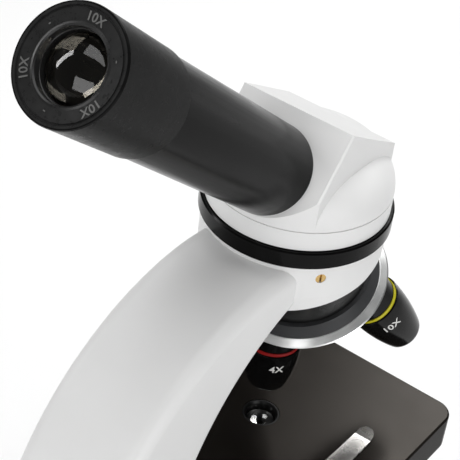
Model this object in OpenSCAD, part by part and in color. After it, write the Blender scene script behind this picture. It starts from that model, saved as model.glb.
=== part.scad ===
// Student microscope with one inclined eyepiece tube.
// A curved arm on a hollow base carries a turning head, a tilted three-place
// nosepiece and a stage that is raised and lowered by a rack and pinion.
// The origin is where the optical axis meets the table. +Z is up, +Y runs from the
// arm towards the far edge of the stage, and the eyepiece points back over -Y.

/* [Head and eyepiece] */

// height of the clamp ring's top face, which carries the head
ring_z = 200; // [198:0.5:206]
// radius of the white band and of the domed head housing above it
head_r = 26.15; // [26:0.05:26.6]
// half width of the flat-sided wedge that takes the tube
wedge_hw = 17.8; // [17:0.1:18.5]
// angle of the eyepiece tube above level, in degrees
tube_incline = 39; // [37.5:0.5:40]
// angle of the wedge's sloping top face, in degrees
top_slope = 29.7; // [28:0.1:31]
// outside radius of the eyepiece tube
tube_r = 12.8; // [12.7:0.05:13]
// radius of the eyepiece's sleeve
sleeve_r = 11.6; // [11.4:0.05:11.6]
// distance of the tube's open end from the crossing of the two axes
tube_end = 100; // [95:1:110]
// length of the eyepiece barrel outside the tube
barrel_len = 30.3; // [26:0.1:34]
// outside radius of the barrel at the eye end
eye_r = 13.72; // [13.6:0.01:14.2]

/* [Nosepiece and objectives] */

// tilt of the nosepiece axis from the optical axis, in degrees
nose_tilt = 24; // [23.5:0.1:24.5]
// radius of the bright nosepiece flange
flange_r = 24.9; // [24.5:0.1:25.4]
// radius of the widest part of each objective
obj_r = 8.6; // [8.3:0.05:9]
// distance of the low-power objective's tip from the cone apex
tip_low = 60.5; // [58:0.5:62]
// distance of the middle objective's tip from the cone apex
tip_mid = 67.5; // [66:0.5:69]
// distance of the high-power objective's tip from the cone apex
tip_high = 70; // [69.5:0.1:70.3]

/* [Stage] */

// height of the stage's top face at rest
stage_z = 115.7; // [115:0.1:116]
// half width of the square stage
stage_hw = 45; // [44:0.5:48]
// distance of the stage's far edge from the optical axis
stage_far = 43.8; // [43:0.1:46]
// depth of the stage's skirt
stage_h = 12; // [11:0.5:12]
// radius of the condenser bezel
bezel_r = 5.85; // [5.5:0.05:6.2]

/* [Arm and base] */

// half width of the curved arm
arm_hw = 16; // [15.6:0.1:16.4]
// radius of the arm's outer curve
arm_out_r = 75.5; // [75:0.1:76]
// radius of the arm's inner curve
arm_in_r = 64.2; // [64:0.1:64.6]
// half width of the base
base_hw = 62; // [58:1:70]
// height of the base's top face
base_z = 34; // [33:0.5:35]
// radius of the focus knobs
knob_r = 19; // [16:0.5:21]

/* [Hidden] */

$fn = 96;

// running clearance between turning or sliding round pieces
run = 0.05;

// head
axis_z = ring_z + 3.05;
band_z0 = ring_z + 0.3;
seam_z = ring_z + 6.1;
face_l = 23.18;
ridge_n = 17.46;
wedge_bevel = 0.5;
tube_l0 = 21;
tube_ri = sleeve_r + run;
dome_fr = 11.15;
spigot_r = 22;
neck_r = 20;
path_r = 14;
back_y = 17.3;
barrel_l0 = tube_end + 0.1;
barrel_l1 = barrel_l0 + barrel_len;
lens_rim_r = 8.46;

// clamp ring and collar
ring_r = 27.24;
ring_h = 5.5;
ring_z0 = ring_z - ring_h;
collar_r = 26.2;
collar_bore = 18;
collar_slant = 16.7;
collar_mid_z = ring_z - 15.2;
crease_z = ring_z - 16;
set_angle = -38.4;
set_z = ring_z - 9.3;

// nosepiece, measured from the cone apex along the axis
apex_z = ring_z - 9.5;
mount_l = 24;
turret_l0 = 24.3;
flange_l0 = 27.7;
flange_l1 = 29.3;
seat_l = 35.7;
seat_r = 8.6;
seat_h = 4.8;
pivot_r = 4;
thread_r = 5.8;
// step from each objective's widest part in to its neck, depth of the ring's groove,
// width of the ring, and rounding of the tip
neck_step = 0.8;
groove = 0.3;
obj_ring_w = 1;
tip_round = 1.8;
band_low = 43.5;
band_mid = 46.1;
band_high = 47.5;

// arm
arm_edge = 4;
arm_cz = ring_z - 82.4;
arm_out_y = -30;
arm_in_y = -0.6;
arm_back = arm_out_y - arm_out_r;
arm_front = arm_in_y - arm_in_r;
// hollow behind the arm's front wall, for the rack, and the slot through that wall
cav_hw = 9;
cav_z0 = base_z + 8;
cav_h = 72;
slot_z0 = 44;
slot_h = 68;

// focus drive
shaft_y = -80;
shaft_z = 72;
shaft_r = 3;
pinion_teeth = 12;
gear_module = 1;
pitch_r = pinion_teeth * gear_module / 2;
addendum = 0.8;
dedendum = 1.1;
tooth_pitch = PI * gear_module;
rack_y = shaft_y + pitch_r;
rack_hw = 4;
rack_z0 = 56;
bush_r = 5;
rail_z0 = 50;
rail_z1 = 114;
// dovetail of the carriage: half width at the arm, half width outside, depth
dove_in = 9.6;
dove_out = 6.4;
dove_d = 7.2;
dove_gap = 0.32;
bracket_z0 = 66;
rack_teeth = 15;

// stage
stage_r = 6;
stage_near = stage_far - 2 * stage_hw;
stage_wall = 3;
stage_screw_x = 17.5;
clip_x = 31;
clip_y = -33;
clip_t = 0.8;
clip_rise = 2.3;
clip_eye_r = 5;
clip_pin_r = 2;
clip_tip_r = 2.7;
clip_len = 46.2;
disc_y = 17;
disc_r = 25;

// base
base_back = -112;
base_front = 62;
base_r = 24;
base_edge = 5;
base_wall = 3;
floor_z = 4;
cover_t = 2.4;
door_hw = 28;
door_y1 = -50;
cell_r = 7.25;
cell_pitch = 15.5;
cell_y = -81;
cell_z = 14.6;
dial_y = 20;
dial_z = 20;
dial_shaft_r = 3;
// places of the cover screws and of the posts that they enter
screw_xy = [[-50, -88], [50, -88], [-26, 48], [26, 48]];
screw_r = 1.5;
post_r = 4;
foot_xy = [[-44, -68], [44, -68], [-44, 46], [44, 46]];
foot_r = 8;

white = [0.93, 0.93, 0.92];
black = [0.06, 0.06, 0.06];
steel = [0.78, 0.78, 0.8];
brass_c = [0.8, 0.62, 0.3];
clear = [0.8, 0.88, 0.9, 0.4];

// ---------- shared shapes ----------

module quarter(r) {
    intersection() {
        circle(r);
        square(r);
    }
}

// flat plate with round corners, from corner [x0, y0] to [x1, y1]
module plan(x0, x1, y0, y1, z0, z1, r) {
    translate([0, 0, z0]) linear_extrude(z1 - z0) {
        translate([x0 + r, y0]) square([x1 - x0 - 2 * r, y1 - y0]);
        translate([x0, y0 + r]) square([x1 - x0, y1 - y0 - 2 * r]);
        for (x = [x0 + r, x1 - r]) for (y = [y0 + r, y1 - r]) translate([x, y]) circle(r);
    }
}

// the same plate with its top edge rounded by e
module soft_plan(x0, x1, y0, y1, z0, z1, r, e) {
    plan(x0, x1, y0, y1, z0, z1 - e, r);
    plan(x0 + e, x1 - e, y0 + e, y1 - e, z1 - e, z1, r - e);
    corners = [[x1 - r, y1 - r, 0], [x0 + r, y1 - r, 90], [x0 + r, y0 + r, 180], [x1 - r, y0 + r, 270]];
    for (c = corners) translate([c[0], c[1], z1 - e]) rotate([0, 0, c[2]])
        rotate_extrude(angle = 90) translate([r - e, 0]) quarter(e);
    len_x = x1 - x0 - 2 * r;
    len_y = y1 - y0 - 2 * r;
    translate([x0 + r, y1 - e, z1 - e]) rotate([90, 0, 90]) linear_extrude(len_x) quarter(e);
    translate([x1 - r, y0 + e, z1 - e]) rotate([90, 0, -90]) linear_extrude(len_x) quarter(e);
    translate([x1 - e, y1 - r, z1 - e]) rotate([90, 0, 0]) linear_extrude(len_y) quarter(e);
    translate([x0 + e, y0 + r, z1 - e]) rotate([90, 0, 180]) linear_extrude(len_y) quarter(e);
}

// profile of points [y, z] swept across x from -hw to hw
module across(hw, points) {
    translate([-hw, 0, 0]) rotate([90, 0, 90]) linear_extrude(2 * hw) polygon(points);
}

// round rod lying along x
module rod_x(x0, x1, y, z, r) {
    translate([x0, y, z]) rotate([0, 90, 0]) cylinder(h = x1 - x0, r = r);
}

// everything above a plane through the optical axis at height z, rising towards +Y
module above(z, tilt) {
    translate([0, 0, z]) rotate([tilt, 0, 0]) translate([-100, -100, 0]) cube([200, 200, 100]);
}

module below(z, tilt) {
    translate([0, 0, z]) rotate([tilt, 0, 0]) translate([-100, -100, -100]) cube([200, 200, 100]);
}

// frame whose +Z runs up the eyepiece tube
module along_tube() {
    translate([0, 0, axis_z]) rotate([90 - tube_incline, 0, 0]) children();
}

// frame of the nosepiece: its -Z runs down the nosepiece axis from the cone apex
module nose() {
    translate([0, 0, apex_z]) rotate([nose_tilt, 0, 0]) children();
}

// frame of one objective: place 0 is in the light path, 1 towards +X and 2 towards -X
module place(k) {
    nose() rotate([0, 0, 120 * k]) rotate([-nose_tilt, 0, 0]) children();
}

module slotted_screw(r, head_r, len, head_h) {
    difference() {
        union() {
            translate([0, 0, -len]) cylinder(h = len, r = r);
            cylinder(h = head_h, r = head_r);
        }
        translate([-head_r, -0.4, head_h - 0.8]) cube([2 * head_r, 0.8, 1]);
    }
}

// ---------- head ----------

module wedge_block() {
    sn = sin(tube_incline);
    cs = cos(tube_incline);
    fy = -cs * face_l;
    fz = axis_z + sn * face_l;
    top = [fy + sn * ridge_n, fz + cs * ridge_n];
    drop = 12.5;
    foot = [fy - sn * drop, fz - cs * drop];
    back_z = top[1] - tan(top_slope) * (back_y - top[0]);
    intersection() {
        across(wedge_hw, [top, foot, [foot[0], seam_z + 0.3], [back_y, seam_z + 0.3],
            [back_y, back_z]]);
        translate([0, 0, seam_z + 0.3]) cylinder(h = 40, r = head_r);
        along_tube() rotate([90, 0, 0]) translate([0, 0, -40]) linear_extrude(80) polygon([
            [-wedge_hw - 1, -60], [wedge_hw + 1, -60], [wedge_hw + 1, face_l - wedge_bevel - 1],
            [wedge_hw - wedge_bevel, face_l], [-wedge_hw + wedge_bevel, face_l],
            [-wedge_hw - 1, face_l - wedge_bevel - 1]]);
    }
}

module head_housing() {
    color(white) difference() {
        union() {
            translate([0, 0, seam_z - 0.1]) cylinder(h = 0.4, r = head_r - 0.4);
            translate([0, 0, seam_z + 0.3]) cylinder(h = dome_fr, r = head_r - dome_fr);
            translate([0, 0, seam_z + 0.3]) rotate_extrude() translate([head_r - dome_fr, 0])
                quarter(dome_fr);
            wedge_block();
        }
        translate([0, 0, seam_z - 1]) cylinder(h = 9, r = path_r);
        along_tube() translate([0, 0, 8]) cylinder(h = 20, r = tube_ri - 0.6);
        along_tube() translate([0, 0, tube_l0]) cylinder(h = 20, r = tube_r);
    }
}

module head_band() {
    color(white) difference() {
        translate([0, 0, band_z0]) cylinder(h = seam_z - 0.1 - band_z0, r = head_r);
        translate([0, 0, band_z0 - 1]) cylinder(h = 5, r = path_r);
        translate([0, 0, band_z0 - 1]) cylinder(h = 10, r = 7);
    }
}

module head_spigot() {
    color(black) difference() {
        union() {
            translate([0, 0, ring_z - 4]) cylinder(h = 4.3, r = neck_r - run);
            translate([0, 0, ring_z0 + 0.1]) cylinder(h = ring_h - 2.7, r = spigot_r - run);
        }
        translate([0, 0, ring_z0 - 1]) cylinder(h = 10, r = path_r);
    }
}

module prism() {
    z = seam_z - 0.1;
    color(clear) across(8, [[-7, z], [8, z], [8, z + 2.8], [1, z + 7.4], [-7, z + 7.4]]);
}

module body_tube() {
    color(black) along_tube() difference() {
        translate([0, 0, tube_l0]) cylinder(h = tube_end - tube_l0, r = tube_r);
        translate([0, 0, tube_l0 - 1]) cylinder(h = tube_end, r = tube_ri);
    }
}

// ---------- eyepiece ----------

module eyepiece_barrel() {
    root_r = 13.35;
    color(black) along_tube() rotate_extrude() polygon([
        [9.5, barrel_l0], [root_r - 0.3, barrel_l0], [root_r, barrel_l0 + 0.3],
        [eye_r, barrel_l1 - 0.5], [eye_r - 0.15, barrel_l1],
        [eye_r - 0.95, barrel_l1 - 0.05], [eye_r - 1.1, barrel_l1 - 0.45], [eye_r - 1.5, barrel_l1 - 0.45],
        [eye_r - 1.6, barrel_l1 - 0.2], [lens_rim_r + 0.9, barrel_l1 - 0.5],
        [lens_rim_r + 0.4, barrel_l1 - 0.35], [lens_rim_r, barrel_l1 - 0.6],
        [lens_rim_r - 0.1, barrel_l1 - 2.4], [8.2, barrel_l1 - 2.5], [8.2, barrel_l1 - 6.5],
        [7.2, barrel_l1 - 6.5], [7.2, barrel_l0 + 8], [9.5, barrel_l0 + 6]]);
}

module eyepiece_sleeve() {
    color(steel) along_tube() rotate_extrude() polygon([
        [sleeve_r, barrel_l0 - 26], [sleeve_r, barrel_l0], [9.5, barrel_l0],
        [9.5, barrel_l0 + 5.8], [8.8, barrel_l0 + 5.8], [8.8, barrel_l0 - 26]]);
}

module eye_lens() {
    // dome over a short rim
    rim = 8.2;
    sag = 3.2;
    ball = (rim * rim + sag * sag) / (2 * sag);
    color(clear) along_tube() translate([0, 0, barrel_l1 - 6.5]) {
        cylinder(h = 2.2, r = rim);
        translate([0, 0, 2.2]) intersection() {
            translate([0, 0, sag - ball]) sphere(ball);
            cylinder(h = sag + 1, r = rim);
        }
    }
}

module field_lens() {
    color(clear) along_tube() translate([0, 0, barrel_l0 - 25]) cylinder(h = 3.4, r = 8.8);
}

module field_stop() {
    color(black) along_tube() translate([0, 0, barrel_l0 - 10]) difference() {
        cylinder(h = 1, r = 8.8);
        translate([0, 0, -1]) cylinder(h = 3, r = 5.5);
    }
}

// ---------- clamp ring, arm and nosepiece mount ----------

module clamp_ring() {
    color(black) rotate_extrude() polygon([
        [spigot_r, ring_z0], [ring_r - 0.5, ring_z0], [ring_r, ring_z0 + 0.5], [ring_r, ring_z - 0.4],
        [ring_r - 0.4, ring_z], [neck_r, ring_z], [neck_r, ring_z - 2.5], [spigot_r, ring_z - 2.5]]);
}

module round_rim(r, hw, e) {
    square([r, hw - e]);
    translate([0, -(hw - e)]) square([r, hw - e]);
    translate([0, -hw]) square([r - e, 2 * hw]);
    for (s = [-1, 1]) translate([r - e, s * (hw - e)]) circle(e);
}

module flared_core(r, hw, e) {
    difference() {
        translate([0, -hw - 1]) square([r + e, 2 * hw + 2]);
        translate([r, -(hw - e)]) square([e + 1, 2 * (hw - e)]);
        for (s = [-1, 1]) translate([r + e, s * (hw - e)]) circle(e);
    }
}

module arm_bow() {
    intersection() {
        difference() {
            translate([0, arm_out_y, arm_cz]) rotate([0, 90, 0]) rotate_extrude()
                round_rim(arm_out_r, arm_hw, arm_edge);
            translate([0, arm_in_y, arm_cz]) rotate([0, 90, 0]) rotate_extrude()
                flared_core(arm_in_r, arm_hw, arm_edge);
        }
        translate([-arm_hw - 1, arm_back - 1, arm_cz]) cube([2 * arm_hw + 2, -arm_back - 8, 90]);
    }
}

module collar() {
    intersection() {
        union() {
            translate([0, 0, crease_z]) cylinder(h = ring_z0 - crease_z, r = collar_r);
            translate([0, 0, crease_z - 14]) cylinder(h = 14, r1 = collar_r - 2.2, r2 = collar_r);
        }
        above(collar_mid_z, collar_slant);
    }
}

module arm() {
    color(white) difference() {
        union() {
            arm_bow();
            collar();
            plan(-arm_hw, arm_hw, arm_back, arm_front, base_z, arm_cz, arm_edge);
        }
        translate([0, 0, 150]) cylinder(h = 60, r = collar_bore);
        rotate([0, 0, set_angle]) rod_x(collar_bore - 2, collar_r + 2, 0, set_z, 1.5);
        translate([-cav_hw, arm_back + 6, cav_z0]) cube([2 * cav_hw, arm_front - arm_back - 11, cav_h]);
        translate([-rack_hw - 0.6, arm_front - 6, slot_z0]) cube([2 * rack_hw + 1.2, 7, slot_h]);
        rod_x(-arm_hw - 1, arm_hw + 1, shaft_y, shaft_z, bush_r);
        for (y = [arm_back + 9, arm_front - 9]) translate([0, y, base_z - 1]) cylinder(h = 10, r = 2);
    }
}

module arm_screws() {
    color(steel) for (y = [arm_back + 9, arm_front - 9]) translate([0, y, base_z - base_wall])
        mirror([0, 0, 1]) slotted_screw(2, 3.8, 9, 2.4);
}

module set_screw() {
    color(brass_c) rotate([0, 0, set_angle]) difference() {
        rod_x(collar_bore, collar_r - 0.15, 0, set_z, 1.5);
        translate([collar_r - 1, -0.3, set_z - 2]) cube([2, 0.6, 4]);
    }
}

module nose_mount() {
    color(black) difference() {
        union() {
            intersection() {
                nose() translate([0, 0, -mount_l]) cylinder(h = 18, r = 19.5);
                below(collar_mid_z, collar_slant);
            }
            intersection() {
                translate([0, 0, 150]) cylinder(h = ring_z - 6.5 - 150, r = collar_bore);
                nose() translate([-50, -50, -6]) cube([100, 100, 40]);
            }
        }
        translate([0, 0, 140]) cylinder(h = 70, r = 7);
        nose() translate([0, 0, -mount_l - 1]) cylinder(h = 9, r = pivot_r);
    }
}

module nose_pivot() {
    color(steel) nose() difference() {
        union() {
            translate([0, 0, -37]) cylinder(h = 37 - mount_l + 7, r = pivot_r);
            translate([0, 0, -39.2]) cylinder(h = 2.2, r = 5.5);
        }
        translate([-6, -0.5, -40]) cube([12, 1, 1.6]);
    }
}

// ---------- nosepiece ----------

module turret() {
    color([0.25, 0.25, 0.26]) difference() {
        union() {
            nose() rotate_extrude() polygon([
                [pivot_r + run, -turret_l0], [20.6, -turret_l0], [20.8, -turret_l0 - 0.3],
                [22.5, -flange_l0],
                [20.4, -flange_l0], [20.4, -flange_l1 + 0.1], [6.2, -36.2], [6.2, -36.8],
                [pivot_r + run, -36.8]]);
            for (k = [0:2]) place(k) translate([0, 0, -seat_l]) cylinder(h = seat_h, r = seat_r);
        }
        for (k = [0:2]) place(k) translate([0, 0, -seat_l - 4]) cylinder(h = 20, r = thread_r);
        nose() translate([0, 0, -60]) cylinder(h = 23.2, r = 30);
        nose() translate([0, 0, -45]) cylinder(h = 30, r = pivot_r + run);
    }
}

module turret_ring() {
    color(steel) difference() {
        nose() rotate_extrude() polygon([
            [20.4, -flange_l1 + 0.1], [20.4, -flange_l0], [22.7, -flange_l0],
            [flange_r - 0.25, -flange_l1 + 0.35],
            [flange_r, -flange_l1], [flange_r - 0.4, -flange_l1 - 0.3], [22, -flange_l1 + 0.1]]);
        for (k = [0:2]) place(k) translate([0, 0, -seat_l - 1]) cylinder(h = 9, r = seat_r);
    }
}

// outline of one objective's bore, in the same frame as its body
module obj_bore(tip_l) {
    polygon([[0, -seat_l + 5], [3.2, -seat_l + 5], [3.2, -tip_l + 5], [2.3, -tip_l + 2.5],
        [2.3, -tip_l + 0.5], [2.7, -tip_l], [2.7, -tip_l - 1], [0, -tip_l - 1]]);
}

// body of one objective: band_l is where its colour ring starts, tip_l its tip
module obj_body(band_l, tip_l, nose_r) {
    neck = obj_r - neck_step;
    ring_l = band_l + obj_ring_w;
    wide_l = ring_l + 1;
    // the side bows in on one large arc, which the tip's rounding continues
    drop = tip_l - wide_l;
    inset = obj_r - nose_r;
    bow = (drop * drop + inset * inset) / (2 * inset);
    low = drop - tip_round;
    reach = bow - tip_round;
    round_x = obj_r - bow + sqrt(reach * reach - low * low);
    join_l = wide_l + low * bow / reach;
    difference() {
        union() {
            rotate_extrude() polygon([[0, -seat_l + 4.5], [thread_r, -seat_l + 4.5],
                [thread_r, -seat_l], [neck - 0.3, -seat_l], [neck, -seat_l - 0.4], [neck, -band_l],
                [neck - groove, -band_l], [neck - groove, -ring_l], [obj_r - 0.25, -ring_l],
                [obj_r, -ring_l - 0.3], [obj_r, -wide_l], [0, -wide_l]]);
            rotate_extrude() intersection() {
                translate([obj_r - bow, -wide_l]) circle(bow);
                translate([0, -join_l]) square([obj_r, join_l - wide_l]);
            }
            rotate_extrude() translate([round_x, -tip_l + tip_round]) circle(tip_round);
            translate([0, 0, -tip_l]) cylinder(h = tip_l - wide_l + 0.5, r = round_x);
        }
        rotate_extrude() obj_bore(tip_l);
    }
}

module obj_band(band_l) {
    r = obj_r - neck_step - groove;
    rotate_extrude() translate([r, -band_l - obj_ring_w]) square([2 * groove, obj_ring_w]);
}

module obj_glass(tip_l) {
    translate([0, 0, -tip_l + 0.5]) cylinder(h = 2, r = 2.3);
}

module obj4_barrel() {
    color(black) place(0) obj_body(band_low, tip_low, 5.9);
}

module obj4_band() {
    color([0.75, 0.1, 0.1]) place(0) obj_band(band_low);
}

module obj4_lens() {
    color(clear) place(0) obj_glass(tip_low);
}

module obj10_barrel() {
    color(black) place(1) obj_body(band_mid, tip_mid, 5.9);
}

module obj10_band() {
    color([0.85, 0.8, 0.15]) place(1) obj_band(band_mid);
}

module obj10_lens() {
    color(clear) place(1) obj_glass(tip_mid);
}

module obj40_barrel() {
    color(black) place(2) obj_body(band_high, tip_high, 4.4);
}

module obj40_band() {
    color([0.2, 0.45, 0.8]) place(2) obj_band(band_high);
}

module obj40_lens() {
    color(clear) place(2) obj_glass(tip_high);
}

// ---------- stage carriage ----------

module stage_plate() {
    x = stage_hw;
    z0 = stage_z - stage_h;
    skin = stage_z - 4;
    color([0.12, 0.11, 0.1]) difference() {
        soft_plan(-x, x, stage_near, stage_far, z0, stage_z, stage_r, 0.8);
        difference() {
            plan(-x + stage_wall, x - stage_wall, stage_near + 6, stage_far - stage_wall, z0 - 1, skin, 3);
            cylinder(h = 200, r = 9);
            translate([0, disc_y, 0]) cylinder(h = 200, r = 5);
            for (s = [-1, 1]) translate([s * clip_x, clip_y, 0]) cylinder(h = 200, r = 5);
        }
        translate([0, 0, z0 - 1]) cylinder(h = 20, r = bezel_r);
        translate([0, disc_y, z0 - 1]) cylinder(h = 7, r = 2);
        for (s = [-1, 1]) translate([s * clip_x, clip_y, z0 - 1]) cylinder(h = 20, r = 2 + run);
        for (s = [-1, 1]) rotate([0, 0, 90]) rod_x(stage_near - 1, stage_near + 5, s * stage_screw_x,
            z0 + 5, 1.5);
    }
}

module condenser_bezel() {
    z1 = stage_z - 0.1;
    color(black) rotate_extrude() polygon([
        [bezel_r, stage_z - stage_h + 1], [bezel_r, z1 - 0.2], [bezel_r - 0.2, z1], [bezel_r - 0.6, z1],
        [bezel_r - 1, z1 - 0.8], [bezel_r - 1, z1 - 4.6], [bezel_r - 1.6, z1 - 4.6],
        [bezel_r - 1.6, stage_z - stage_h + 1]]);
}

module condenser_lens() {
    rim = bezel_r - 1;
    sag = 2.2;
    ball = (rim * rim + sag * sag) / (2 * sag);
    color(clear) translate([0, 0, stage_z - 4.7]) {
        cylinder(h = 1.3, r = rim);
        translate([0, 0, 1.3]) intersection() {
            translate([0, 0, sag - ball]) sphere(ball);
            cylinder(h = sag + 1, r = rim);
        }
    }
}

module stage_bracket() {
    z0 = stage_z - stage_h;
    y0 = arm_front + 0.4;
    color(black) difference() {
        union() {
            translate([0, 0, bracket_z0]) linear_extrude(38) polygon([
                [-dove_in, y0], [dove_in, y0], [dove_out, y0 + dove_d], [dove_out, y0 + 9],
                [-dove_out, y0 + 9], [-dove_out, y0 + dove_d]]);
            translate([-13, y0 + 8.6, bracket_z0]) cube([26, stage_near - 4 - y0 - 8.6, 44]);
            translate([-22, stage_near - 4, z0 - 6]) cube([44, 4, stage_h + 4]);
            translate([-rack_hw + 0.4, rack_y + dedendum + 3, bracket_z0])
                cube([2 * rack_hw - 0.8, y0 - rack_y - dedendum - 2.9, 34]);
        }
        for (s = [-1, 1]) rotate([0, 0, 90]) rod_x(stage_near - 6, stage_near + 1, s * stage_screw_x,
            z0 + 5, 1.5);
    }
}

module stage_screws() {
    z0 = stage_z - stage_h;
    color(steel) for (s = [-1, 1]) translate([s * stage_screw_x, stage_near - 4, z0 + 5])
        rotate([90, 0, 0]) slotted_screw(1.5, 2.8, 8, 1.6);
}

module rack() {
    n = rack_teeth;
    root = rack_y + dedendum;
    len = n * tooth_pitch;
    phase = tooth_pitch / 2;
    color(brass_c) {
        translate([-rack_hw, root, rack_z0]) cube([2 * rack_hw, 3, len]);
        for (i = [0:n - 1]) {
            zc = shaft_z - phase + (i - 4) * tooth_pitch;
            across(rack_hw, [[root, zc - 0.95], [root, zc + 0.95], [rack_y - addendum, zc + 0.4],
                [rack_y - addendum, zc - 0.4]]);
        }
    }
}

module disc_pivot() {
    z0 = stage_z - stage_h;
    color(steel) translate([0, disc_y, z0 - 2.2]) mirror([0, 0, 1]) slotted_screw(2, 4, 8, 1.6);
}

module aperture_disc() {
    z0 = stage_z - stage_h;
    holes = [5, 0.8, 1.5, 2.4, 3.3, 4.2];
    color(black) difference() {
        translate([0, disc_y, z0 - 1.9]) cylinder(h = 1.5, r = disc_r);
        translate([0, disc_y, z0 - 4]) cylinder(h = 8, r = 2 + run);
        for (i = [0:5]) translate([0, disc_y, z0 - 4]) rotate([0, 0, 60 * i]) translate([0, -disc_y, 0])
            cylinder(h = 8, r = holes[i]);
    }
}

// spring clip in its own frame: pivot at the origin, strip along +Y on the stage
module clip_plan() {
    circle(clip_eye_r);
    polygon([[-4.3, -1], [-3.2, 20], [-clip_tip_r, clip_len], [-2.45, clip_len + 1],
        [2.45, clip_len + 1], [clip_tip_r, clip_len], [3.2, 20], [4.3, -1]]);
    translate([0, clip_len]) circle(clip_tip_r);
}

module clip_strip() {
    t = clip_t;
    h = clip_rise;
    difference() {
        across(6, [[-5, h], [6, h], [43.6, 0.15], [45.2, 0.05], [46.4, 0.25], [49.4, 1.5],
            [49.1, 2.2], [46.1, 0.98], [45.1, 0.85], [43.8, 0.95], [6, h + t], [-5, h + t]]);
        translate([0, 0, -1]) linear_extrude(14) difference() {
            translate([-20, -20]) square([40, 90]);
            clip_plan();
        }
        translate([0, 0, -1]) cylinder(h = 12, r = clip_pin_r);
    }
}

module clip_knob() {
    translate([0, 0, -stage_h + 1])
        cylinder(h = stage_h - 1 + clip_rise + clip_t + 0.1, r = clip_pin_r);
    translate([0, 0, 0.1]) cylinder(h = clip_rise - 0.1, r = 3.6);
    translate([0, 0, clip_rise + clip_t]) cylinder(h = 1.6, r = 4.2);
    translate([0, 0, clip_rise + clip_t + 1.6]) cylinder(h = 0.8, r1 = 4.2, r2 = 3.4);
}

module clip_right() {
    color(steel) translate([clip_x, clip_y, stage_z]) rotate([0, 0, 1.5]) clip_strip();
}

module clip_right_knob() {
    color(steel) translate([clip_x, clip_y, stage_z]) clip_knob();
}

module clip_left() {
    color(steel) translate([-clip_x, clip_y, stage_z]) rotate([0, 0, -1.5]) clip_strip();
}

module clip_left_knob() {
    color(steel) translate([-clip_x, clip_y, stage_z]) clip_knob();
}

// ---------- focus drive ----------

module guide_rails() {
    y0 = arm_front;
    color(steel) for (s = [0, 1]) mirror([s, 0, 0]) translate([0, 0, rail_z0])
        linear_extrude(rail_z1 - rail_z0) polygon([[dove_in + dove_gap, y0], [14, y0],
            [14, y0 + dove_d], [dove_out + dove_gap, y0 + dove_d]]);
}

module bushings() {
    color(brass_c) for (s = [0, 1]) mirror([s, 0, 0]) difference() {
        rod_x(9.2, arm_hw + 0.3, shaft_y, shaft_z, bush_r);
        rod_x(8, arm_hw + 2, shaft_y, shaft_z, shaft_r + run);
    }
}

module focus_shaft() {
    color(steel) rod_x(-arm_hw - 17, arm_hw + 17, shaft_y, shaft_z, shaft_r);
}

module pinion() {
    color(brass_c) difference() {
        union() {
            rod_x(-rack_hw, rack_hw, shaft_y, shaft_z, pitch_r - dedendum);
            for (i = [0:pinion_teeth - 1]) translate([0, shaft_y, shaft_z])
                rotate([i * 360 / pinion_teeth, 0, 0]) across(rack_hw, [
                    [pitch_r - dedendum - 0.4, -0.95], [pitch_r, -0.6], [pitch_r + addendum, -0.3],
                    [pitch_r + addendum, 0.3], [pitch_r, 0.6], [pitch_r - dedendum - 0.4, 0.95]]);
        }
        rod_x(-rack_hw - 1, rack_hw + 1, shaft_y, shaft_z, shaft_r);
    }
}

module knob() {
    x0 = arm_hw + 0.8;
    ribs = 24;
    difference() {
        translate([x0, shaft_y, shaft_z]) rotate([0, 90, 0]) rotate_extrude() polygon([
            [0, 0], [11, 0], [11, 2], [knob_r - 1, 2], [knob_r, 3], [knob_r, 14.5], [knob_r - 1, 15.5],
            [13, 16.6], [12.5, 15.9], [0, 15.9]]);
        for (i = [0:ribs - 1]) translate([0, shaft_y, shaft_z]) rotate([i * 360 / ribs, 0, 0])
            rod_x(x0 + 3.5, x0 + 14, knob_r + 0.7, 0, 1.3);
        rod_x(0, arm_hw + 17, shaft_y, shaft_z, shaft_r);
    }
}

module knob_right() {
    color(black) knob();
}

module knob_left() {
    color(black) mirror([1, 0, 0]) knob();
}

// ---------- base ----------

module base_shell() {
    w = base_wall;
    color(white) difference() {
        soft_plan(-base_hw, base_hw, base_back, base_front, floor_z, base_z, base_r, base_edge);
        soft_plan(-base_hw + w, base_hw - w, base_back + w, base_front - w, floor_z - 1,
            base_z - w, base_r - w, base_edge - w + 1);
        translate([0, 0, base_z - w - 1]) cylinder(h = w + 2, r = 16);
        for (y = [arm_back + 9, arm_front - 9]) translate([0, y, base_z - w - 1])
            cylinder(h = w + 2, r = 2);
        translate([-door_hw - 0.3, base_back - 1, floor_z - 1])
            cube([2 * door_hw + 0.6, w + 2, cover_t + 1.1]);
        rod_x(base_hw - w - 1, base_hw + 1, dial_y, dial_z, dial_shaft_r + run);
    }
    color(white) for (p = screw_xy) translate([p[0], p[1], floor_z + cover_t]) difference() {
        cylinder(h = base_z - w - floor_z - cover_t + 0.5, r = post_r);
        translate([0, 0, -1]) cylinder(h = 8, r = screw_r);
    }
}

module base_cover() {
    w = base_wall + 0.1;
    color(black) difference() {
        plan(-base_hw + w, base_hw - w, base_back + w, base_front - w, floor_z,
            floor_z + cover_t, base_r - w);
        translate([-door_hw - 0.3, base_back, floor_z - 1])
            cube([2 * door_hw + 0.6, door_y1 + 0.3 - base_back, 10]);
        for (p = screw_xy) translate([p[0], p[1], floor_z - 1]) cylinder(h = 10, r = screw_r);
    }
}

module cover_screws() {
    color(steel) for (p = screw_xy) translate([p[0], p[1], floor_z]) mirror([0, 0, 1])
        slotted_screw(screw_r, 3, 8, 1.4);
}

module rubber_feet() {
    color(black) for (p = foot_xy) translate([p[0], p[1], 0]) {
        cylinder(h = 1, r1 = foot_r - 0.6, r2 = foot_r);
        translate([0, 0, 1]) cylinder(h = floor_z - 1, r = foot_r);
    }
}

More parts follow.
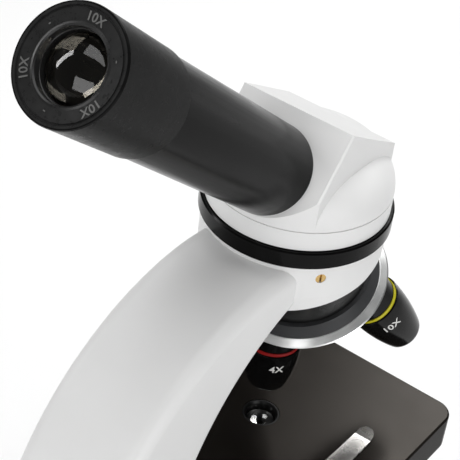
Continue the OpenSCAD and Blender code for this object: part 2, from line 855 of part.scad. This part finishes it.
module battery_door() {
    color(black) difference() {
        translate([-door_hw, base_back, floor_z + 0.1])
            cube([2 * door_hw, door_y1 - base_back, cover_t - 0.3]);
        for (i = [0:2]) translate([-9, base_back + 6 + 3 * i, floor_z - 0.4]) cube([18, 1.4, 1]);
    }
}

module battery_box() {
    z0 = floor_z + cover_t;
    z1 = cell_z + cell_r + 2.2;
    y0 = cell_y - 25;
    color(black) difference() {
        translate([-31, y0, z0]) cube([62, 50, z1 - z0]);
        translate([-29, y0 + 1.6, z0 - 1]) cube([58, 46.8, z1 - z0 - 0.6]);
    }
}

module cells() {
    color([0.2, 0.35, 0.3]) for (i = [-1:1]) {
        rod_x(-24.9, 24.6, cell_y + i * cell_pitch, cell_z, cell_r);
        rod_x(24.6, 26.1, cell_y + i * cell_pitch, cell_z, 2.6);
    }
}

module contacts() {
    color(steel) for (i = [-1:1]) {
        y = cell_y + i * cell_pitch;
        translate([-29, y - 5.5, cell_z - 5.5]) cube([0.5, 11, 11]);
        rod_x(-28.5, -24.9, y, cell_z, 3.2);
        translate([26.1, y - 5.5, cell_z - 5.5]) cube([2.9, 11, 11]);
    }
}

module lamp_housing() {
    color(black) rotate_extrude() polygon([
        [14.2, 27.6], [16, 27.6], [16, base_z], [19, base_z], [19, base_z + 1.6], [17.4, base_z + 8.6],
        [16.4, base_z + 9.4], [14.6, base_z + 9.4], [14.6, base_z + 6], [14.2, base_z + 6]]);
}

module lamp_lens() {
    rim = 14.6;
    sag = 3.6;
    ball = (rim * rim + sag * sag) / (2 * sag);
    color(clear) translate([0, 0, base_z + 6]) {
        cylinder(h = 2.4, r = rim);
        translate([0, 0, 2.4]) intersection() {
            translate([0, 0, sag - ball]) sphere(ball);
            cylinder(h = sag + 1, r = rim);
        }
    }
}

module led_board() {
    color([0.1, 0.35, 0.15]) translate([0, 0, 26]) cylinder(h = 1.6, r = 15.4);
}

module led_chip() {
    color([0.95, 0.9, 0.6]) {
        translate([-2.5, -2.5, 27.6]) cube([5, 5, 1.2]);
        translate([0, 0, 28.8]) cylinder(h = 1, r = 2);
    }
}

module dimmer_pot() {
    x1 = base_hw - base_wall;
    color([0.2, 0.25, 0.4]) difference() {
        translate([x1 - 9, dial_y - 8, dial_z - 8]) cube([9, 16, 16]);
        rod_x(x1 - 6, x1 + 1, dial_y, dial_z, dial_shaft_r + run);
    }
}

module dimmer_wheel() {
    x1 = base_hw;
    color(black) {
        rod_x(x1 - base_wall - 5.5, x1 + 1, dial_y, dial_z, dial_shaft_r);
        difference() {
            translate([x1 + 0.5, dial_y, dial_z]) rotate([0, 90, 0]) rotate_extrude() polygon([
                [0, 0], [9, 0], [9, 7], [8.2, 7.8], [0, 7.8]]);
            for (i = [0:17]) translate([0, dial_y, dial_z]) rotate([i * 20, 0, 0])
                rod_x(x1 + 1.5, x1 + 9, 9.5, 0, 0.9);
            translate([x1 + 7.6, dial_y - 0.5, dial_z + 2]) cube([1, 1, 5]);
        }
    }
}

// ---------- one line per piece ----------

base_shell();
base_cover();
rubber_feet();
cover_screws();
battery_box();
cells();
contacts();
lamp_housing();
lamp_lens();
led_board();
led_chip();
dimmer_pot();
arm();
arm_screws();
clamp_ring();
set_screw();
nose_mount();
nose_pivot();
guide_rails();
bushings();
head_housing();
head_band();
head_spigot();
prism();
body_tube();
eyepiece_barrel();
eyepiece_sleeve();
eye_lens();
field_lens();
field_stop();
turret();
turret_ring();
obj4_barrel();
obj4_band();
obj4_lens();
obj10_barrel();
obj10_band();
obj10_lens();
obj40_barrel();
obj40_band();
obj40_lens();
stage_plate();
stage_bracket();
rack();
condenser_bezel();
condenser_lens();
stage_screws();
disc_pivot();
aperture_disc();
clip_right();
clip_right_knob();
clip_left();
clip_left_knob();
focus_shaft();
pinion();
knob_right();
knob_left();
dimmer_wheel();
battery_door();
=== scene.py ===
import math

import bmesh
import bpy
from mathutils import Matrix, Vector
from mathutils.bvhtree import BVHTree


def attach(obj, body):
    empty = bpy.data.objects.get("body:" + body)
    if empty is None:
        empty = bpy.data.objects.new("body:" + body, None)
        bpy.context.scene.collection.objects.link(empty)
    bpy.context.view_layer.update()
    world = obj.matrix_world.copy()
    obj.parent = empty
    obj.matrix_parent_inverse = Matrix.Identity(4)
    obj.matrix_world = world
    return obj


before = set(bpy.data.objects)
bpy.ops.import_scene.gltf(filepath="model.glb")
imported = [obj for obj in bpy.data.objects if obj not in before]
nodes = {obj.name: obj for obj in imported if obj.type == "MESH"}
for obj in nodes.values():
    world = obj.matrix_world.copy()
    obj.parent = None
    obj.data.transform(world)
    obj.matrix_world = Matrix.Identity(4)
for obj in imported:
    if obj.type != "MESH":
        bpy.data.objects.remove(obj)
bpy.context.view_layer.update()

MM = 0.001
MICRON = 0.000001

# The shared frame, as the CAD has it: metres, origin under the optical axis on the table.
INCLINE = math.radians(39)  # the eyepiece tube, above level
TILT = math.radians(24)  # the nosepiece's axis, off the optical axis
CROSSING = Vector((0, 0, 203.05)) * MM  # where the tube's axis meets the optical axis
APEX = Vector((0, 0, 190.5)) * MM  # where the objectives' axes meet
ALONG_TUBE = (math.pi / 2 - INCLINE, 0, 0)  # turns +Z to run up the tube

# The eyepiece: radii from the tube's axis, and distances up it from CROSSING.
EYE_END = 130.4 * MM
FACE_INNER, FACE_OUTER = 9.36 * MM, 12.12 * MM  # the flat ring that carries the lettering
FACE_DROP_INNER, FACE_DROP_OUTER = 0.5 * MM, 0.2 * MM  # how far it lies below EYE_END
BARREL_SIDE = 13.25 * MM  # the barrel's side lies outside this radius, its face and bore inside
SLEEVE_WALL = 9.9 * MM  # the sleeve's bore lies inside this radius


def tube_frame():
    """+Z runs up the eyepiece tube from where the two axes cross."""
    return Matrix.Translation(CROSSING) @ Matrix.Rotation(ALONG_TUBE[0], 4, "X")


def objective_frame(place):
    """-Z runs down one objective from the nosepiece's cone apex. Place 0 is in the light path."""
    nose = Matrix.Translation(APEX) @ Matrix.Rotation(TILT, 4, "X")
    turn = Matrix.Rotation(math.radians(120 * place), 4, "Z")
    return nose @ turn @ Matrix.Rotation(-TILT, 4, "X")


# ---------- materials ----------


def grey(level):
    return (level, level, level)


def ramp(tree, source, low, high, a=0.35, b=0.65):
    """A colour between low and high, following a 0 to 1 signal."""
    node = tree.nodes.new("ShaderNodeValToRGB")
    node.color_ramp.elements[0].position = a
    node.color_ramp.elements[0].color = (*low, 1)
    node.color_ramp.elements[1].position = b
    node.color_ramp.elements[1].color = (*high, 1)
    tree.links.new(source, node.inputs["Fac"])
    return node.outputs["Color"]


def span(tree, source, low, high, a=0.3, b=0.7):
    """A number between low and high, following a 0 to 1 signal."""
    node = tree.nodes.new("ShaderNodeMapRange")
    for key, value in (("From Min", a), ("From Max", b), ("To Min", low), ("To Max", high)):
        node.inputs[key].default_value = value
    tree.links.new(source, node.inputs["Value"])
    return node.outputs["Result"]


def noise(tree, coord, scale, detail, rough=0.55):
    """Cloudy noise, from 0 to 1."""
    node = tree.nodes.new("ShaderNodeTexNoise")
    node.inputs["Scale"].default_value = scale
    node.inputs["Detail"].default_value = detail
    node.inputs["Roughness"].default_value = rough
    tree.links.new(coord, node.inputs["Vector"])
    return node.outputs["Fac"]


def stretched(tree, coord, scale, turn):
    """Coordinates in a turned frame, pulled out along an axis, for drawn or brushed lines."""
    node = tree.nodes.new("ShaderNodeMapping")
    node.vector_type = "TEXTURE"
    node.inputs["Rotation"].default_value = turn
    node.inputs["Scale"].default_value = tuple(1 / s for s in scale)
    tree.links.new(coord, node.inputs["Vector"])
    return node.outputs["Vector"]


def bump(tree, height, depth, below=None):
    """A surface texture of a depth in metres, added to another where there is one."""
    node = tree.nodes.new("ShaderNodeBump")
    node.inputs["Strength"].default_value = 1.0
    node.inputs["Distance"].default_value = depth
    tree.links.new(height, node.inputs["Height"])
    if below is not None:
        tree.links.new(below, node.inputs["Normal"])
    return node.outputs["Normal"]


def material(name, colour, rough, metal=0.0, specular=0.5, tone=0.06, tone_scale=45.0,
             rough_spread=0.08, grain=900.0, depth=10 * MICRON, lines=None,
             lines_depth=4 * MICRON, turn=(0, 0, 0), tint=(1, 1, 1)):
    """An opaque finish: cloudy colour, uneven gloss and a fine surface texture.

    A finish with no colour gets it afterwards, from painted_highlight_streaks or by_radius.
    """
    smoothest = 0.02
    m = bpy.data.materials.new(name)
    m.use_nodes = True
    tree = m.node_tree
    shader = tree.nodes["Principled BSDF"]
    shader.inputs["Metallic"].default_value = metal
    shader.inputs["Specular IOR Level"].default_value = specular
    shader.inputs["IOR"].default_value = 1.5
    shader.inputs["Specular Tint"].default_value = (*tint, 1)
    coord = tree.nodes.new("ShaderNodeTexCoord").outputs["Object"]
    if colour is not None:
        cloud = noise(tree, coord, tone_scale, 4.0)
        low = tuple(c * (1 - tone) for c in colour)
        high = tuple(min(1.0, c * (1 + tone)) for c in colour)
        tree.links.new(ramp(tree, cloud, low, high), shader.inputs["Base Color"])
    uneven = noise(tree, coord, tone_scale * 4, 5.0, 0.65)
    wide = span(tree, uneven, max(smoothest, rough - rough_spread), min(1.0, rough + rough_spread))
    tree.links.new(wide, shader.inputs["Roughness"])
    normal = bump(tree, noise(tree, coord, grain, 2.0), depth)
    if lines is not None:
        drawn = noise(tree, stretched(tree, coord, lines, turn), 1.0, 2.0)
        normal = bump(tree, drawn, lines_depth, normal)
    tree.links.new(normal, shader.inputs["Normal"])
    return m


def glass(name, tint, ior=1.52):
    """Polished glass with a faint bloom of handling on it."""
    clean, handled = 0.01, 0.04
    m = bpy.data.materials.new(name)
    m.use_nodes = True
    tree = m.node_tree
    shader = tree.nodes["Principled BSDF"]
    shader.inputs["Base Color"].default_value = (*tint, 1)
    shader.inputs["Transmission Weight"].default_value = 1.0
    shader.inputs["IOR"].default_value = ior
    coord = tree.nodes.new("ShaderNodeTexCoord").outputs["Object"]
    film = noise(tree, coord, 260.0, 4.0)
    tree.links.new(span(tree, film, clean, handled), shader.inputs["Roughness"])
    return m


def painted_highlight_streaks(m, scale, low, high, turn):
    """Painted highlight: broad lighter streaks in a finish's colour, running one way, standing in
    for the gleam of lights along a satin tube.
    """
    low_up_to, high_from = 0.42, 0.68
    tree = m.node_tree
    coord = tree.nodes.new("ShaderNodeTexCoord").outputs["Object"]
    wide = noise(tree, stretched(tree, coord, scale, turn), 1.0, 2.0)
    tree.links.new(ramp(tree, wide, low, high, low_up_to, high_from),
                   tree.nodes["Principled BSDF"].inputs["Base Color"])


def by_radius(m, limit, inner, outer):
    """Different finishes inside and outside a distance from the tube's axis.

    inner and outer each give a colour, a metallic value and a specular level.
    """
    edge = 0.05 * MM
    cloud_scale, darker, lighter = 120.0, 0.8, 1.2
    tree = m.node_tree
    shader = tree.nodes["Principled BSDF"]
    coord = tree.nodes.new("ShaderNodeTexCoord").outputs["Object"]
    place = tree.nodes.new("ShaderNodeMapping")
    place.vector_type = "TEXTURE"
    place.inputs["Location"].default_value = CROSSING
    place.inputs["Rotation"].default_value = ALONG_TUBE
    tree.links.new(coord, place.inputs["Vector"])
    flat = tree.nodes.new("ShaderNodeVectorMath")
    flat.operation = "MULTIPLY"
    flat.inputs[1].default_value = (1, 1, 0)
    tree.links.new(place.outputs["Vector"], flat.inputs[0])
    away = tree.nodes.new("ShaderNodeVectorMath")
    away.operation = "LENGTH"
    tree.links.new(flat.outputs["Vector"], away.inputs[0])
    beyond = span(tree, away.outputs["Value"], 0.0, 1.0, limit - edge, limit + edge)
    clouded = tree.nodes.new("ShaderNodeVectorMath")
    clouded.operation = "SCALE"
    tree.links.new(ramp(tree, beyond, inner[0], outer[0]), clouded.inputs[0])
    cloud = noise(tree, coord, cloud_scale, 4.0)
    tree.links.new(span(tree, cloud, darker, lighter), clouded.inputs["Scale"])
    tree.links.new(clouded.outputs["Vector"], shader.inputs["Base Color"])
    for socket, low, high in (("Metallic", inner[1], outer[1]),
                              ("Specular IOR Level", inner[2], outer[2])):
        if low != high:
            tree.links.new(span(tree, beyond, low, high, 0.0, 1.0), shader.inputs[socket])


def dull_sides(m, side, top):
    """Less gloss on upright faces than on level ones, by how far their normal points up."""
    upright, level = 0.3, 0.95
    tree = m.node_tree
    facing = tree.nodes.new("ShaderNodeNewGeometry").outputs["Normal"]
    split = tree.nodes.new("ShaderNodeSeparateXYZ")
    tree.links.new(facing, split.inputs["Vector"])
    gloss = span(tree, split.outputs["Z"], side, top, upright, level)
    tree.links.new(gloss, tree.nodes["Principled BSDF"].inputs["Specular IOR Level"])


white_paint = material("white_paint", (0.80, 0.80, 0.797), 0.44, tone=0.012, grain=750.0,
                       depth=6 * MICRON, specular=0.42)
white_plastic = material("white_plastic", (0.79, 0.79, 0.785), 0.36, tone=0.015, grain=1300.0,
                         depth=5 * MICRON, specular=0.45)
black_gloss = material("black_gloss", grey(0.004), 0.16, specular=0.16, tone=0.25,
                       rough_spread=0.05, grain=1500.0, depth=2 * MICRON)
ring_gloss = material("ring_gloss", grey(0.003), 0.2, specular=0.1, tone=0.25,
                      rough_spread=0.06, grain=1100.0, depth=3 * MICRON)
tube_satin = material("tube_satin", None, 0.2, specular=0.045, tone_scale=30.0,
                      grain=2200.0, depth=1 * MICRON, rough_spread=0.03,
                      lines=(260.0, 260.0, 7.0), lines_depth=120 * MICRON, turn=ALONG_TUBE)
# The tube's lighter lengthwise streaks are a painted highlight, not wear.
painted_highlight_streaks(tube_satin, (110.0, 110.0, 3.0), grey(0.0006), grey(0.016), ALONG_TUBE)
eye_satin = material("eye_satin", None, 0.3, specular=0.32, tone_scale=120.0, grain=2200.0,
                     depth=5 * MICRON, rough_spread=0.06)
by_radius(eye_satin, BARREL_SIDE, (grey(0.015), 0.0, 0.34), (grey(0.005), 0.0, 0.06))
sleeve_metal = material("sleeve_metal", None, 0.3, grain=1800.0, depth=3 * MICRON)
by_radius(sleeve_metal, SLEEVE_WALL, (grey(0.005), 0.0, 0.1), ((0.52, 0.52, 0.53), 1.0, 0.5))
black_satin = material("black_satin", grey(0.006), 0.3, specular=0.2, tone=0.18,
                       tone_scale=30.0, grain=2200.0, depth=4 * MICRON, rough_spread=0.05)
face_satin = material("face_satin", (0.12, 0.12, 0.117), 0.42, tone=0.12, grain=2600.0,
                      depth=6 * MICRON)
bore_black = material("bore_black", grey(0.006), 0.7, specular=0.2, tone=0.2, grain=1500.0)
moulded = material("moulded_black", (0.022, 0.022, 0.023), 0.52, specular=0.4, tone=0.15,
                   grain=2400.0, depth=12 * MICRON)
turret_grey = material("turret_grey", (0.036, 0.037, 0.039), 0.4, specular=0.3, tone=0.08,
                       grain=1800.0, depth=6 * MICRON)
chrome = material("chrome", (0.93, 0.94, 0.935), 0.32, metal=1.0, tone=0.04, rough_spread=0.04,
                  grain=1400.0, depth=1 * MICRON, lines=(2600.0, 60.0, 2600.0),
                  lines_depth=1.5 * MICRON)
clip_steel = material("clip_steel", (0.62, 0.605, 0.58), 0.27, metal=1.0, tone=0.05,
                      rough_spread=0.02, grain=1500.0, depth=1 * MICRON,
                      lines=(3200.0, 90.0, 3200.0), lines_depth=2 * MICRON)
steel = material("steel", (0.52, 0.52, 0.53), 0.3, metal=1.0, tone=0.06, grain=1800.0,
                 depth=3 * MICRON, lines=(120.0, 2600.0, 2600.0), lines_depth=4 * MICRON)
brass = material("brass", (0.62, 0.42, 0.17), 0.26, metal=1.0, tone=0.1, grain=1600.0,
                 depth=3 * MICRON, lines=(160.0, 2400.0, 2400.0), lines_depth=3 * MICRON)
rubber = material("rubber", grey(0.02), 0.78, specular=0.3, tone=0.2, grain=2800.0,
                  depth=30 * MICRON)
stage_coat = material("stage_coat", (0.010, 0.0086, 0.0074), 0.24, specular=0.13, tone=0.07,
                      tone_scale=25.0, grain=2600.0, depth=5 * MICRON, rough_spread=0.03,
                      tint=(1.0, 0.88, 0.75))
dull_sides(stage_coat, 0.015, 0.14)
board_green = material("board_green", (0.012, 0.10, 0.035), 0.38, tone=0.2, tone_scale=300.0)
cell_wrap = material("cell_wrap", (0.03, 0.10, 0.11), 0.28, tone=0.1, lines=(40.0, 900.0, 900.0))
lamp_phosphor = material("lamp_phosphor", (0.78, 0.68, 0.28), 0.5, tone=0.12, tone_scale=600.0)
ring_red = material("ring_red", (0.32, 0.012, 0.012), 0.26, tone=0.12, grain=1800.0)
ring_yellow = material("ring_yellow", (0.58, 0.52, 0.015), 0.26, tone=0.08, grain=1800.0)
ring_blue = material("ring_blue", (0.03, 0.11, 0.42), 0.26, tone=0.12, grain=1800.0)
letter_white = material("letter_white", (0.74, 0.74, 0.72), 0.45, tone=0.05, grain=2200.0)

lens_glass = glass("lens_glass", (0.98, 0.98, 0.97))
eye_glass = glass("eye_glass", (0.80, 0.74, 0.62), ior=1.5)

FINISH = {
    white_paint: ["arm", "head_housing", "head_band"],
    white_plastic: ["base_shell"],
    ring_gloss: ["clamp_ring"],
    black_gloss: ["obj4_barrel", "obj10_barrel", "obj40_barrel"],
    tube_satin: ["body_tube"],
    eye_satin: ["eyepiece_barrel"],
    black_satin: ["nose_mount", "head_spigot", "stage_bracket", "condenser_bezel"],
    sleeve_metal: ["eyepiece_sleeve"],
    bore_black: ["field_stop", "aperture_disc"],
    moulded: ["base_cover", "battery_box", "battery_door", "lamp_housing", "dimmer_pot",
              "dimmer_wheel", "knob_right", "knob_left"],
    turret_grey: ["turret"],
    chrome: ["turret_ring", "clip_right_knob", "clip_left_knob"],
    clip_steel: ["clip_right", "clip_left"],
    steel: ["cover_screws", "contacts", "arm_screws", "nose_pivot", "guide_rails",
            "stage_screws", "disc_pivot", "focus_shaft"],
    brass: ["set_screw", "bushings", "rack", "pinion"],
    rubber: ["rubber_feet"],
    stage_coat: ["stage_plate"],
    board_green: ["led_board"],
    cell_wrap: ["cells"],
    lamp_phosphor: ["led_chip"],
    ring_red: ["obj4_band"],
    ring_yellow: ["obj10_band"],
    ring_blue: ["obj40_band"],
    lens_glass: ["obj4_lens", "obj10_lens", "obj40_lens", "condenser_lens", "field_lens",
                 "prism", "lamp_lens"],
    eye_glass: ["eye_lens"],
}

for finish, names in FINISH.items():
    for name in names:
        for slot in nodes[name].material_slots:
            slot.link = "OBJECT"
            slot.material = finish
missed = sorted(set(nodes).difference(*FINISH.values()))
if missed:
    raise RuntimeError(f"no finish for {missed}")


# ---------- lettering: generic magnifications, shaped to what they sit on ----------


# As parts of the letters' size.
STROKE_OFFSET = 0.012  # thickens the strokes
WELD = 0.002  # points closer than this are joined
STRIP = 0.12  # the width between cuts
CUT_WELD = 0.001  # a cut this close to a point goes through it


def letters(name, words, size, depth):
    """A flat mesh of the words, cut finely enough to bend, centred on its own origin."""
    curve = bpy.data.curves.new(name, "FONT")
    curve.body = words
    curve.size = size
    curve.extrude = depth
    curve.align_x = "CENTER"
    curve.align_y = "CENTER"
    curve.resolution_u = 4
    curve.offset = size * STROKE_OFFSET
    holder = bpy.data.objects.new(name + "_curve", curve)
    bpy.context.scene.collection.objects.link(holder)
    graph = bpy.context.evaluated_depsgraph_get()
    mesh = bpy.data.meshes.new_from_object(holder.evaluated_get(graph))
    bpy.data.objects.remove(holder)
    bpy.data.curves.remove(curve)
    bm = bmesh.new()
    bm.from_mesh(mesh)
    bmesh.ops.remove_doubles(bm, verts=bm.verts, dist=size * WELD)
    step = size * STRIP
    for axis in (0, 1):
        low = min(v.co[axis] for v in bm.verts)
        high = max(v.co[axis] for v in bm.verts)
        cut = low + step
        normal = Vector((1, 0, 0)) if axis == 0 else Vector((0, 1, 0))
        while cut < high:
            geom = bm.verts[:] + bm.edges[:] + bm.faces[:]
            bmesh.ops.bisect_plane(bm, geom=geom, plane_co=normal * cut, plane_no=normal,
                                   dist=size * CUT_WELD)
            cut += step
    bmesh.ops.triangulate(bm, faces=bm.faces[:])
    bm.to_mesh(mesh)
    bm.free()
    mesh.materials.clear()
    return mesh


def show(mesh, name, body, finish):
    """Puts the mesh in the scene as a piece that moves with a body."""
    piece = bpy.data.objects.new(name, mesh)
    bpy.context.scene.collection.objects.link(piece)
    mesh.materials.append(finish)
    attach(piece, body)


def face_height(r):
    """The eyepiece's flat ring dips slightly from its rim to the lens opening, in metres."""
    rise = (FACE_DROP_INNER - FACE_DROP_OUTER) * (r - FACE_INNER) / (FACE_OUTER - FACE_INNER)
    return EYE_END - FACE_DROP_INNER + rise


def on_eye_face(name, words, size, angle):
    """Words raised on the eyepiece's flat ring, their feet towards the lens."""
    middle, depth = 10.75 * MM, 0.09 * MM
    lift = 0.4 * depth
    mesh = letters(name, words, size, depth)
    place = tube_frame()
    for v in mesh.vertices:
        r = middle + v.co.y
        a = math.radians(angle) - v.co.x / middle
        height = face_height(r) + v.co.z + lift
        v.co = place @ Vector((r * math.cos(a), r * math.sin(a), height))
    show(mesh, name, "eyepiece", face_satin)


def on_barrel(name, words, node, place, drop, angle, size):
    """Words printed round an objective, a drop down its axis from APEX, laid on its surface."""
    depth, lift = 0.012 * MM, 0.02 * MM
    wrap_r, reach = 8.4 * MM, 14 * MM
    mesh = letters(name, words, size, depth)
    frame_at = objective_frame(place)
    graph = bpy.context.evaluated_depsgraph_get()
    skin = BVHTree.FromObject(nodes[node], graph)
    for v in mesh.vertices:
        a = math.radians(angle) + v.co.x / wrap_r
        out = Vector((math.cos(a), math.sin(a), 0))
        start = frame_at @ (out * reach + Vector((0, 0, v.co.y - drop)))
        towards = (frame_at.to_3x3() @ -out).normalized()
        hit = skin.ray_cast(start, towards, reach)[0]
        if hit is None:
            raise RuntimeError(f"{name} missed {node}")
        v.co = hit - towards * (lift + v.co.z)
    show(mesh, name, "nosepiece", letter_white)


# Angles are in degrees, round the tube's axis or the objective's.
for number, angle in enumerate((87, 207, 327)):
    on_eye_face(f"eye_mark_{number}", "10X", 2.8 * MM, angle)
for number, angle in enumerate((147, 267, 27)):
    on_eye_face(f"eye_dot_{number}", "-", 2.0 * MM, angle)

on_barrel("mark_4x", "4X", "obj4_barrel", 0, 49.4 * MM, -44, 3.6 * MM)
on_barrel("mark_10x", "10X", "obj10_barrel", 1, 52.7 * MM, -149, 3.6 * MM)
on_barrel("mark_40x", "40X", "obj40_barrel", 2, 52.6 * MM, -90, 3.4 * MM)


# ---------- floor, light, camera ----------

FLOOR_HALF = 3.0
FLOOR_GAP = 0.2 * MM  # keeps the floor clear of the feet
floor_mesh = bpy.data.meshes.new("floor")
floor_mesh.from_pydata([(x * FLOOR_HALF, y * FLOOR_HALF, 0)
                        for x, y in ((-1, -1), (1, -1), (1, 1), (-1, 1))], [], [(0, 1, 2, 3)])
floor = bpy.data.objects.new("floor", floor_mesh)
floor.location.z = -FLOOR_GAP
bpy.context.scene.collection.objects.link(floor)
floor_mesh.materials.append(
    material("floor_card", grey(0.96), 0.9, specular=0.1, tone=0.004, tone_scale=2.0,
             grain=300.0))

world = bpy.data.worlds.new("studio")
bpy.context.scene.world = world
world.use_nodes = True
world.node_tree.nodes["Background"].inputs["Color"].default_value = (1, 1, 1, 1)
world.node_tree.nodes["Background"].inputs["Strength"].default_value = 0.08


def softbox(name, at, target, width, height, power):
    """A rectangular light, in metres and watts, that faces its target."""
    lamp = bpy.data.lights.new(name, "AREA")
    lamp.shape = "RECTANGLE"
    lamp.size = width
    lamp.size_y = height
    lamp.energy = power
    box = bpy.data.objects.new(name, lamp)
    bpy.context.scene.collection.objects.link(box)
    box.location = at
    box.rotation_euler = (Vector(target) - Vector(at)).to_track_quat("-Z", "Y").to_euler()


AIM = (0, -0.02, 0.17)
SWEEP_AIM = (0.04, 0.04, 0.116)
softbox("right_low", (1.0, -0.35, 0.38), AIM, 0.7, 0.5, 4.1)
softbox("front", (0.1, -1.15, 0.55), AIM, 0.8, 0.5, 4.0)
softbox("fill_left", (-0.95, -0.45, 0.70), AIM, 0.18, 0.7, 3.2)
softbox("overhead", (0.0, 0.05, 1.25), AIM, 1.0, 1.0, 7.8)
softbox("back_sweep", (-0.14, 0.88, 0.95), SWEEP_AIM, 0.45, 0.6, 6.8)

# The camera: its place, where it lies round and above the object, and its roll.
CAMERA_AT = (0.17671, -0.31384, 0.45695)
AZIMUTH, ELEVATION, ROLL = (math.radians(angle) for angle in (32.11, 37.18, 7.8))

camera_data = bpy.data.cameras.new("camera")
camera_data.sensor_width = 36
camera_data.lens = 124.855
camera = bpy.data.objects.new("camera", camera_data)
bpy.context.scene.collection.objects.link(camera)
back = Vector((math.sin(AZIMUTH) * math.cos(ELEVATION), -math.cos(AZIMUTH) * math.cos(ELEVATION),
               math.sin(ELEVATION)))
level = Vector((math.cos(AZIMUTH), math.sin(AZIMUTH), 0))
upright = back.cross(level)
right = level * math.cos(ROLL) + upright * math.sin(ROLL)
up = upright * math.cos(ROLL) - level * math.sin(ROLL)
turned = Matrix((right, up, back)).transposed().to_4x4()
camera.matrix_world = Matrix.Translation(CAMERA_AT) @ turned
bpy.context.scene.camera = camera
bpy.context.scene.view_settings.view_transform = "Standard"
bpy.context.scene.view_settings.look = "None"

bpy.context.view_layer.update()
